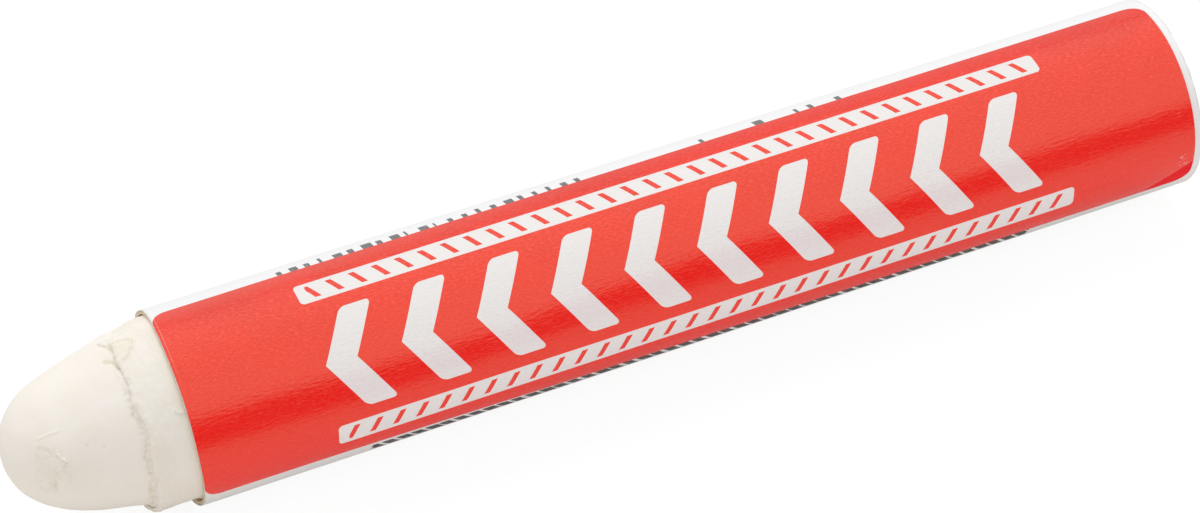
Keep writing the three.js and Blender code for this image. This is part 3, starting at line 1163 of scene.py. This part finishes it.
def light_the_room():
    """A white room: plain soft light for the object, and white where the camera sees it."""
    world = bpy.data.worlds.new("white_room")
    world.use_nodes = True
    bpy.context.scene.world = world
    tree = world.node_tree
    background = tree.nodes["Background"]
    strength = tree.nodes.new("ShaderNodeMapRange")
    strength.inputs["To Min"].default_value = SKY_LIGHT
    strength.inputs["To Max"].default_value = 1.0
    directly = seen_by(tree, "Is Camera Ray", "Is Glossy Ray", "Is Transmission Ray")
    tree.links.new(directly, strength.inputs["Value"])
    tree.links.new(strength.outputs[0], background.inputs["Strength"])
    background.inputs["Color"].default_value = (1, 1, 1, 1)
    lamp_data = bpy.data.lights.new("soft_box", "AREA")
    lamp_data.energy = LAMP_POWER
    lamp_data.size = LAMP_SIZE
    lamp = bpy.data.objects.new("soft_box", lamp_data)
    bpy.context.scene.collection.objects.link(lamp)
    lamp.location = LAMP_PLACE
    aim = Vector((0, 0, AXIS_Z)) - lamp.location
    lamp.rotation_euler = aim.to_track_quat("-Z", "Y").to_euler()
    lamp.visible_glossy = False


def stage_board(name, near_edge, far_edge, material):
    """A stage board between two edges, each a row of points in metres."""
    bm = bmesh.new()
    rows = [[bm.verts.new(point) for point in edge] for edge in (near_edge, far_edge)]
    edges = [bm.edges.new(pair) for row in rows for pair in zip(row, row[1:])]
    bmesh.ops.bridge_loops(bm, edges=edges)
    mesh = bpy.data.meshes.new(name)
    bm.to_mesh(mesh)
    bm.free()
    mesh.materials.append(material)
    board = bpy.data.objects.new(name, mesh)
    bpy.context.scene.collection.objects.link(board)
    return board


def floor_material():
    """A pale floor, which looks nearly white and keeps a faint shadow."""
    material = bpy.data.materials.new("pale_floor")
    material.use_nodes = True
    tree = material.node_tree
    surface = tree.nodes["Principled BSDF"]
    surface.inputs["Roughness"].default_value = 0.9
    surface.inputs["Specular IOR Level"].default_value = 0.0
    in_gloss = tree.nodes.new("ShaderNodeMix")
    in_gloss.data_type = "RGBA"
    in_gloss.inputs[6].default_value = FLOOR_PALE
    in_gloss.inputs[7].default_value = FLOOR_IN_GLOSS
    tree.links.new(seen_by(tree, "Is Glossy Ray"), in_gloss.inputs[0])
    tree.links.new(in_gloss.outputs[2], surface.inputs["Base Color"])
    plain = tree.nodes.new("ShaderNodeBsdfDiffuse")
    plain.inputs["Color"].default_value = (FLOOR_SHARE, FLOOR_SHARE, FLOOR_SHARE, 1)
    glow = tree.nodes.new("ShaderNodeEmission")
    glow.inputs["Strength"].default_value = FLOOR_GLOW
    both = tree.nodes.new("ShaderNodeAddShader")
    tree.links.new(plain.outputs[0], both.inputs[0])
    tree.links.new(glow.outputs[0], both.inputs[1])
    choice = tree.nodes.new("ShaderNodeMixShader")
    tree.links.new(seen_by(tree, "Is Camera Ray", "Is Transmission Ray"), choice.inputs[0])
    tree.links.new(surface.outputs[0], choice.inputs[1])
    tree.links.new(both.outputs[0], choice.inputs[2])
    tree.links.new(choice.outputs[0], tree.nodes["Material Output"].inputs["Surface"])
    return material


def card_material(name, colour):
    """A plain card that shines in that colour."""
    material = bpy.data.materials.new(name)
    material.use_nodes = True
    tree = material.node_tree
    glow = tree.nodes.new("ShaderNodeEmission")
    glow.inputs["Color"].default_value = colour
    tree.links.new(glow.outputs[0], tree.nodes["Material Output"].inputs["Surface"])
    return material


def gloss_card(name, near_edge, far_edge, colour):
    """A card beside the marker that shows only in its gloss."""
    card = stage_board(name, near_edge, far_edge, card_material(name, colour))
    card.visible_camera = False
    card.visible_diffuse = False
    card.visible_transmission = False
    card.visible_shadow = False


def set_the_stage():
    """The floor, and the cards that the label's gloss shows."""
    near_edge = [(-FLOOR_REACH, -FLOOR_REACH, 0), (FLOOR_REACH, -FLOOR_REACH, 0)]
    far_edge = [(-FLOOR_REACH, FLOOR_REACH, 0), (FLOOR_REACH, FLOOR_REACH, 0)]
    stage_board("floor", near_edge, far_edge, floor_material())
    foot = [(x, DARK_CARD_Y, z) for x, z in DARK_CARD_FOOT]
    top = [(x, DARK_CARD_Y, z) for x, z in DARK_CARD_TOP]
    gloss_card("dark_card", foot, top, DARK_CARD)
    gloss_card("grey_card", GREY_CARD_FOOT, GREY_CARD_TOP, GREY_CARD)


def set_the_camera():
    """The camera at the photographed angle."""
    data = bpy.data.cameras.new("camera")
    data.sensor_fit = "HORIZONTAL"
    data.sensor_width = CAMERA_SENSOR
    data.lens = CAMERA_LENS
    camera = bpy.data.objects.new("camera", data)
    bpy.context.scene.collection.objects.link(camera)
    around, up = math.radians(CAMERA_AZIMUTH), math.radians(CAMERA_HEIGHT)
    away = Vector((
        math.sin(around) * math.cos(up), -math.cos(around) * math.cos(up), math.sin(up),
    ))
    camera.location = Vector(CAMERA_AIM) + away * CAMERA_DISTANCE
    camera.rotation_euler = (-away).to_track_quat("-Z", "Y").to_euler()
    bpy.context.scene.camera = camera


finished("paint_core", paint_stick(), "paint_stick", "stick", paint_finish())
finished("dried_crust", dried_skin(), "dried_skin", "stick", skin_finish())
finished("kraft_roll", kraft_tube(), "kraft_tube", "tube", kraft_finish())
finished("paper_wrap", white_wrap(), "white_wrap", "tube", wrap_finish())
finished("front_label", red_label(), "red_label", "tube", label_finish())
set_the_stage()
light_the_room()
set_the_camera()
bpy.context.scene.view_settings.view_transform = "Standard"
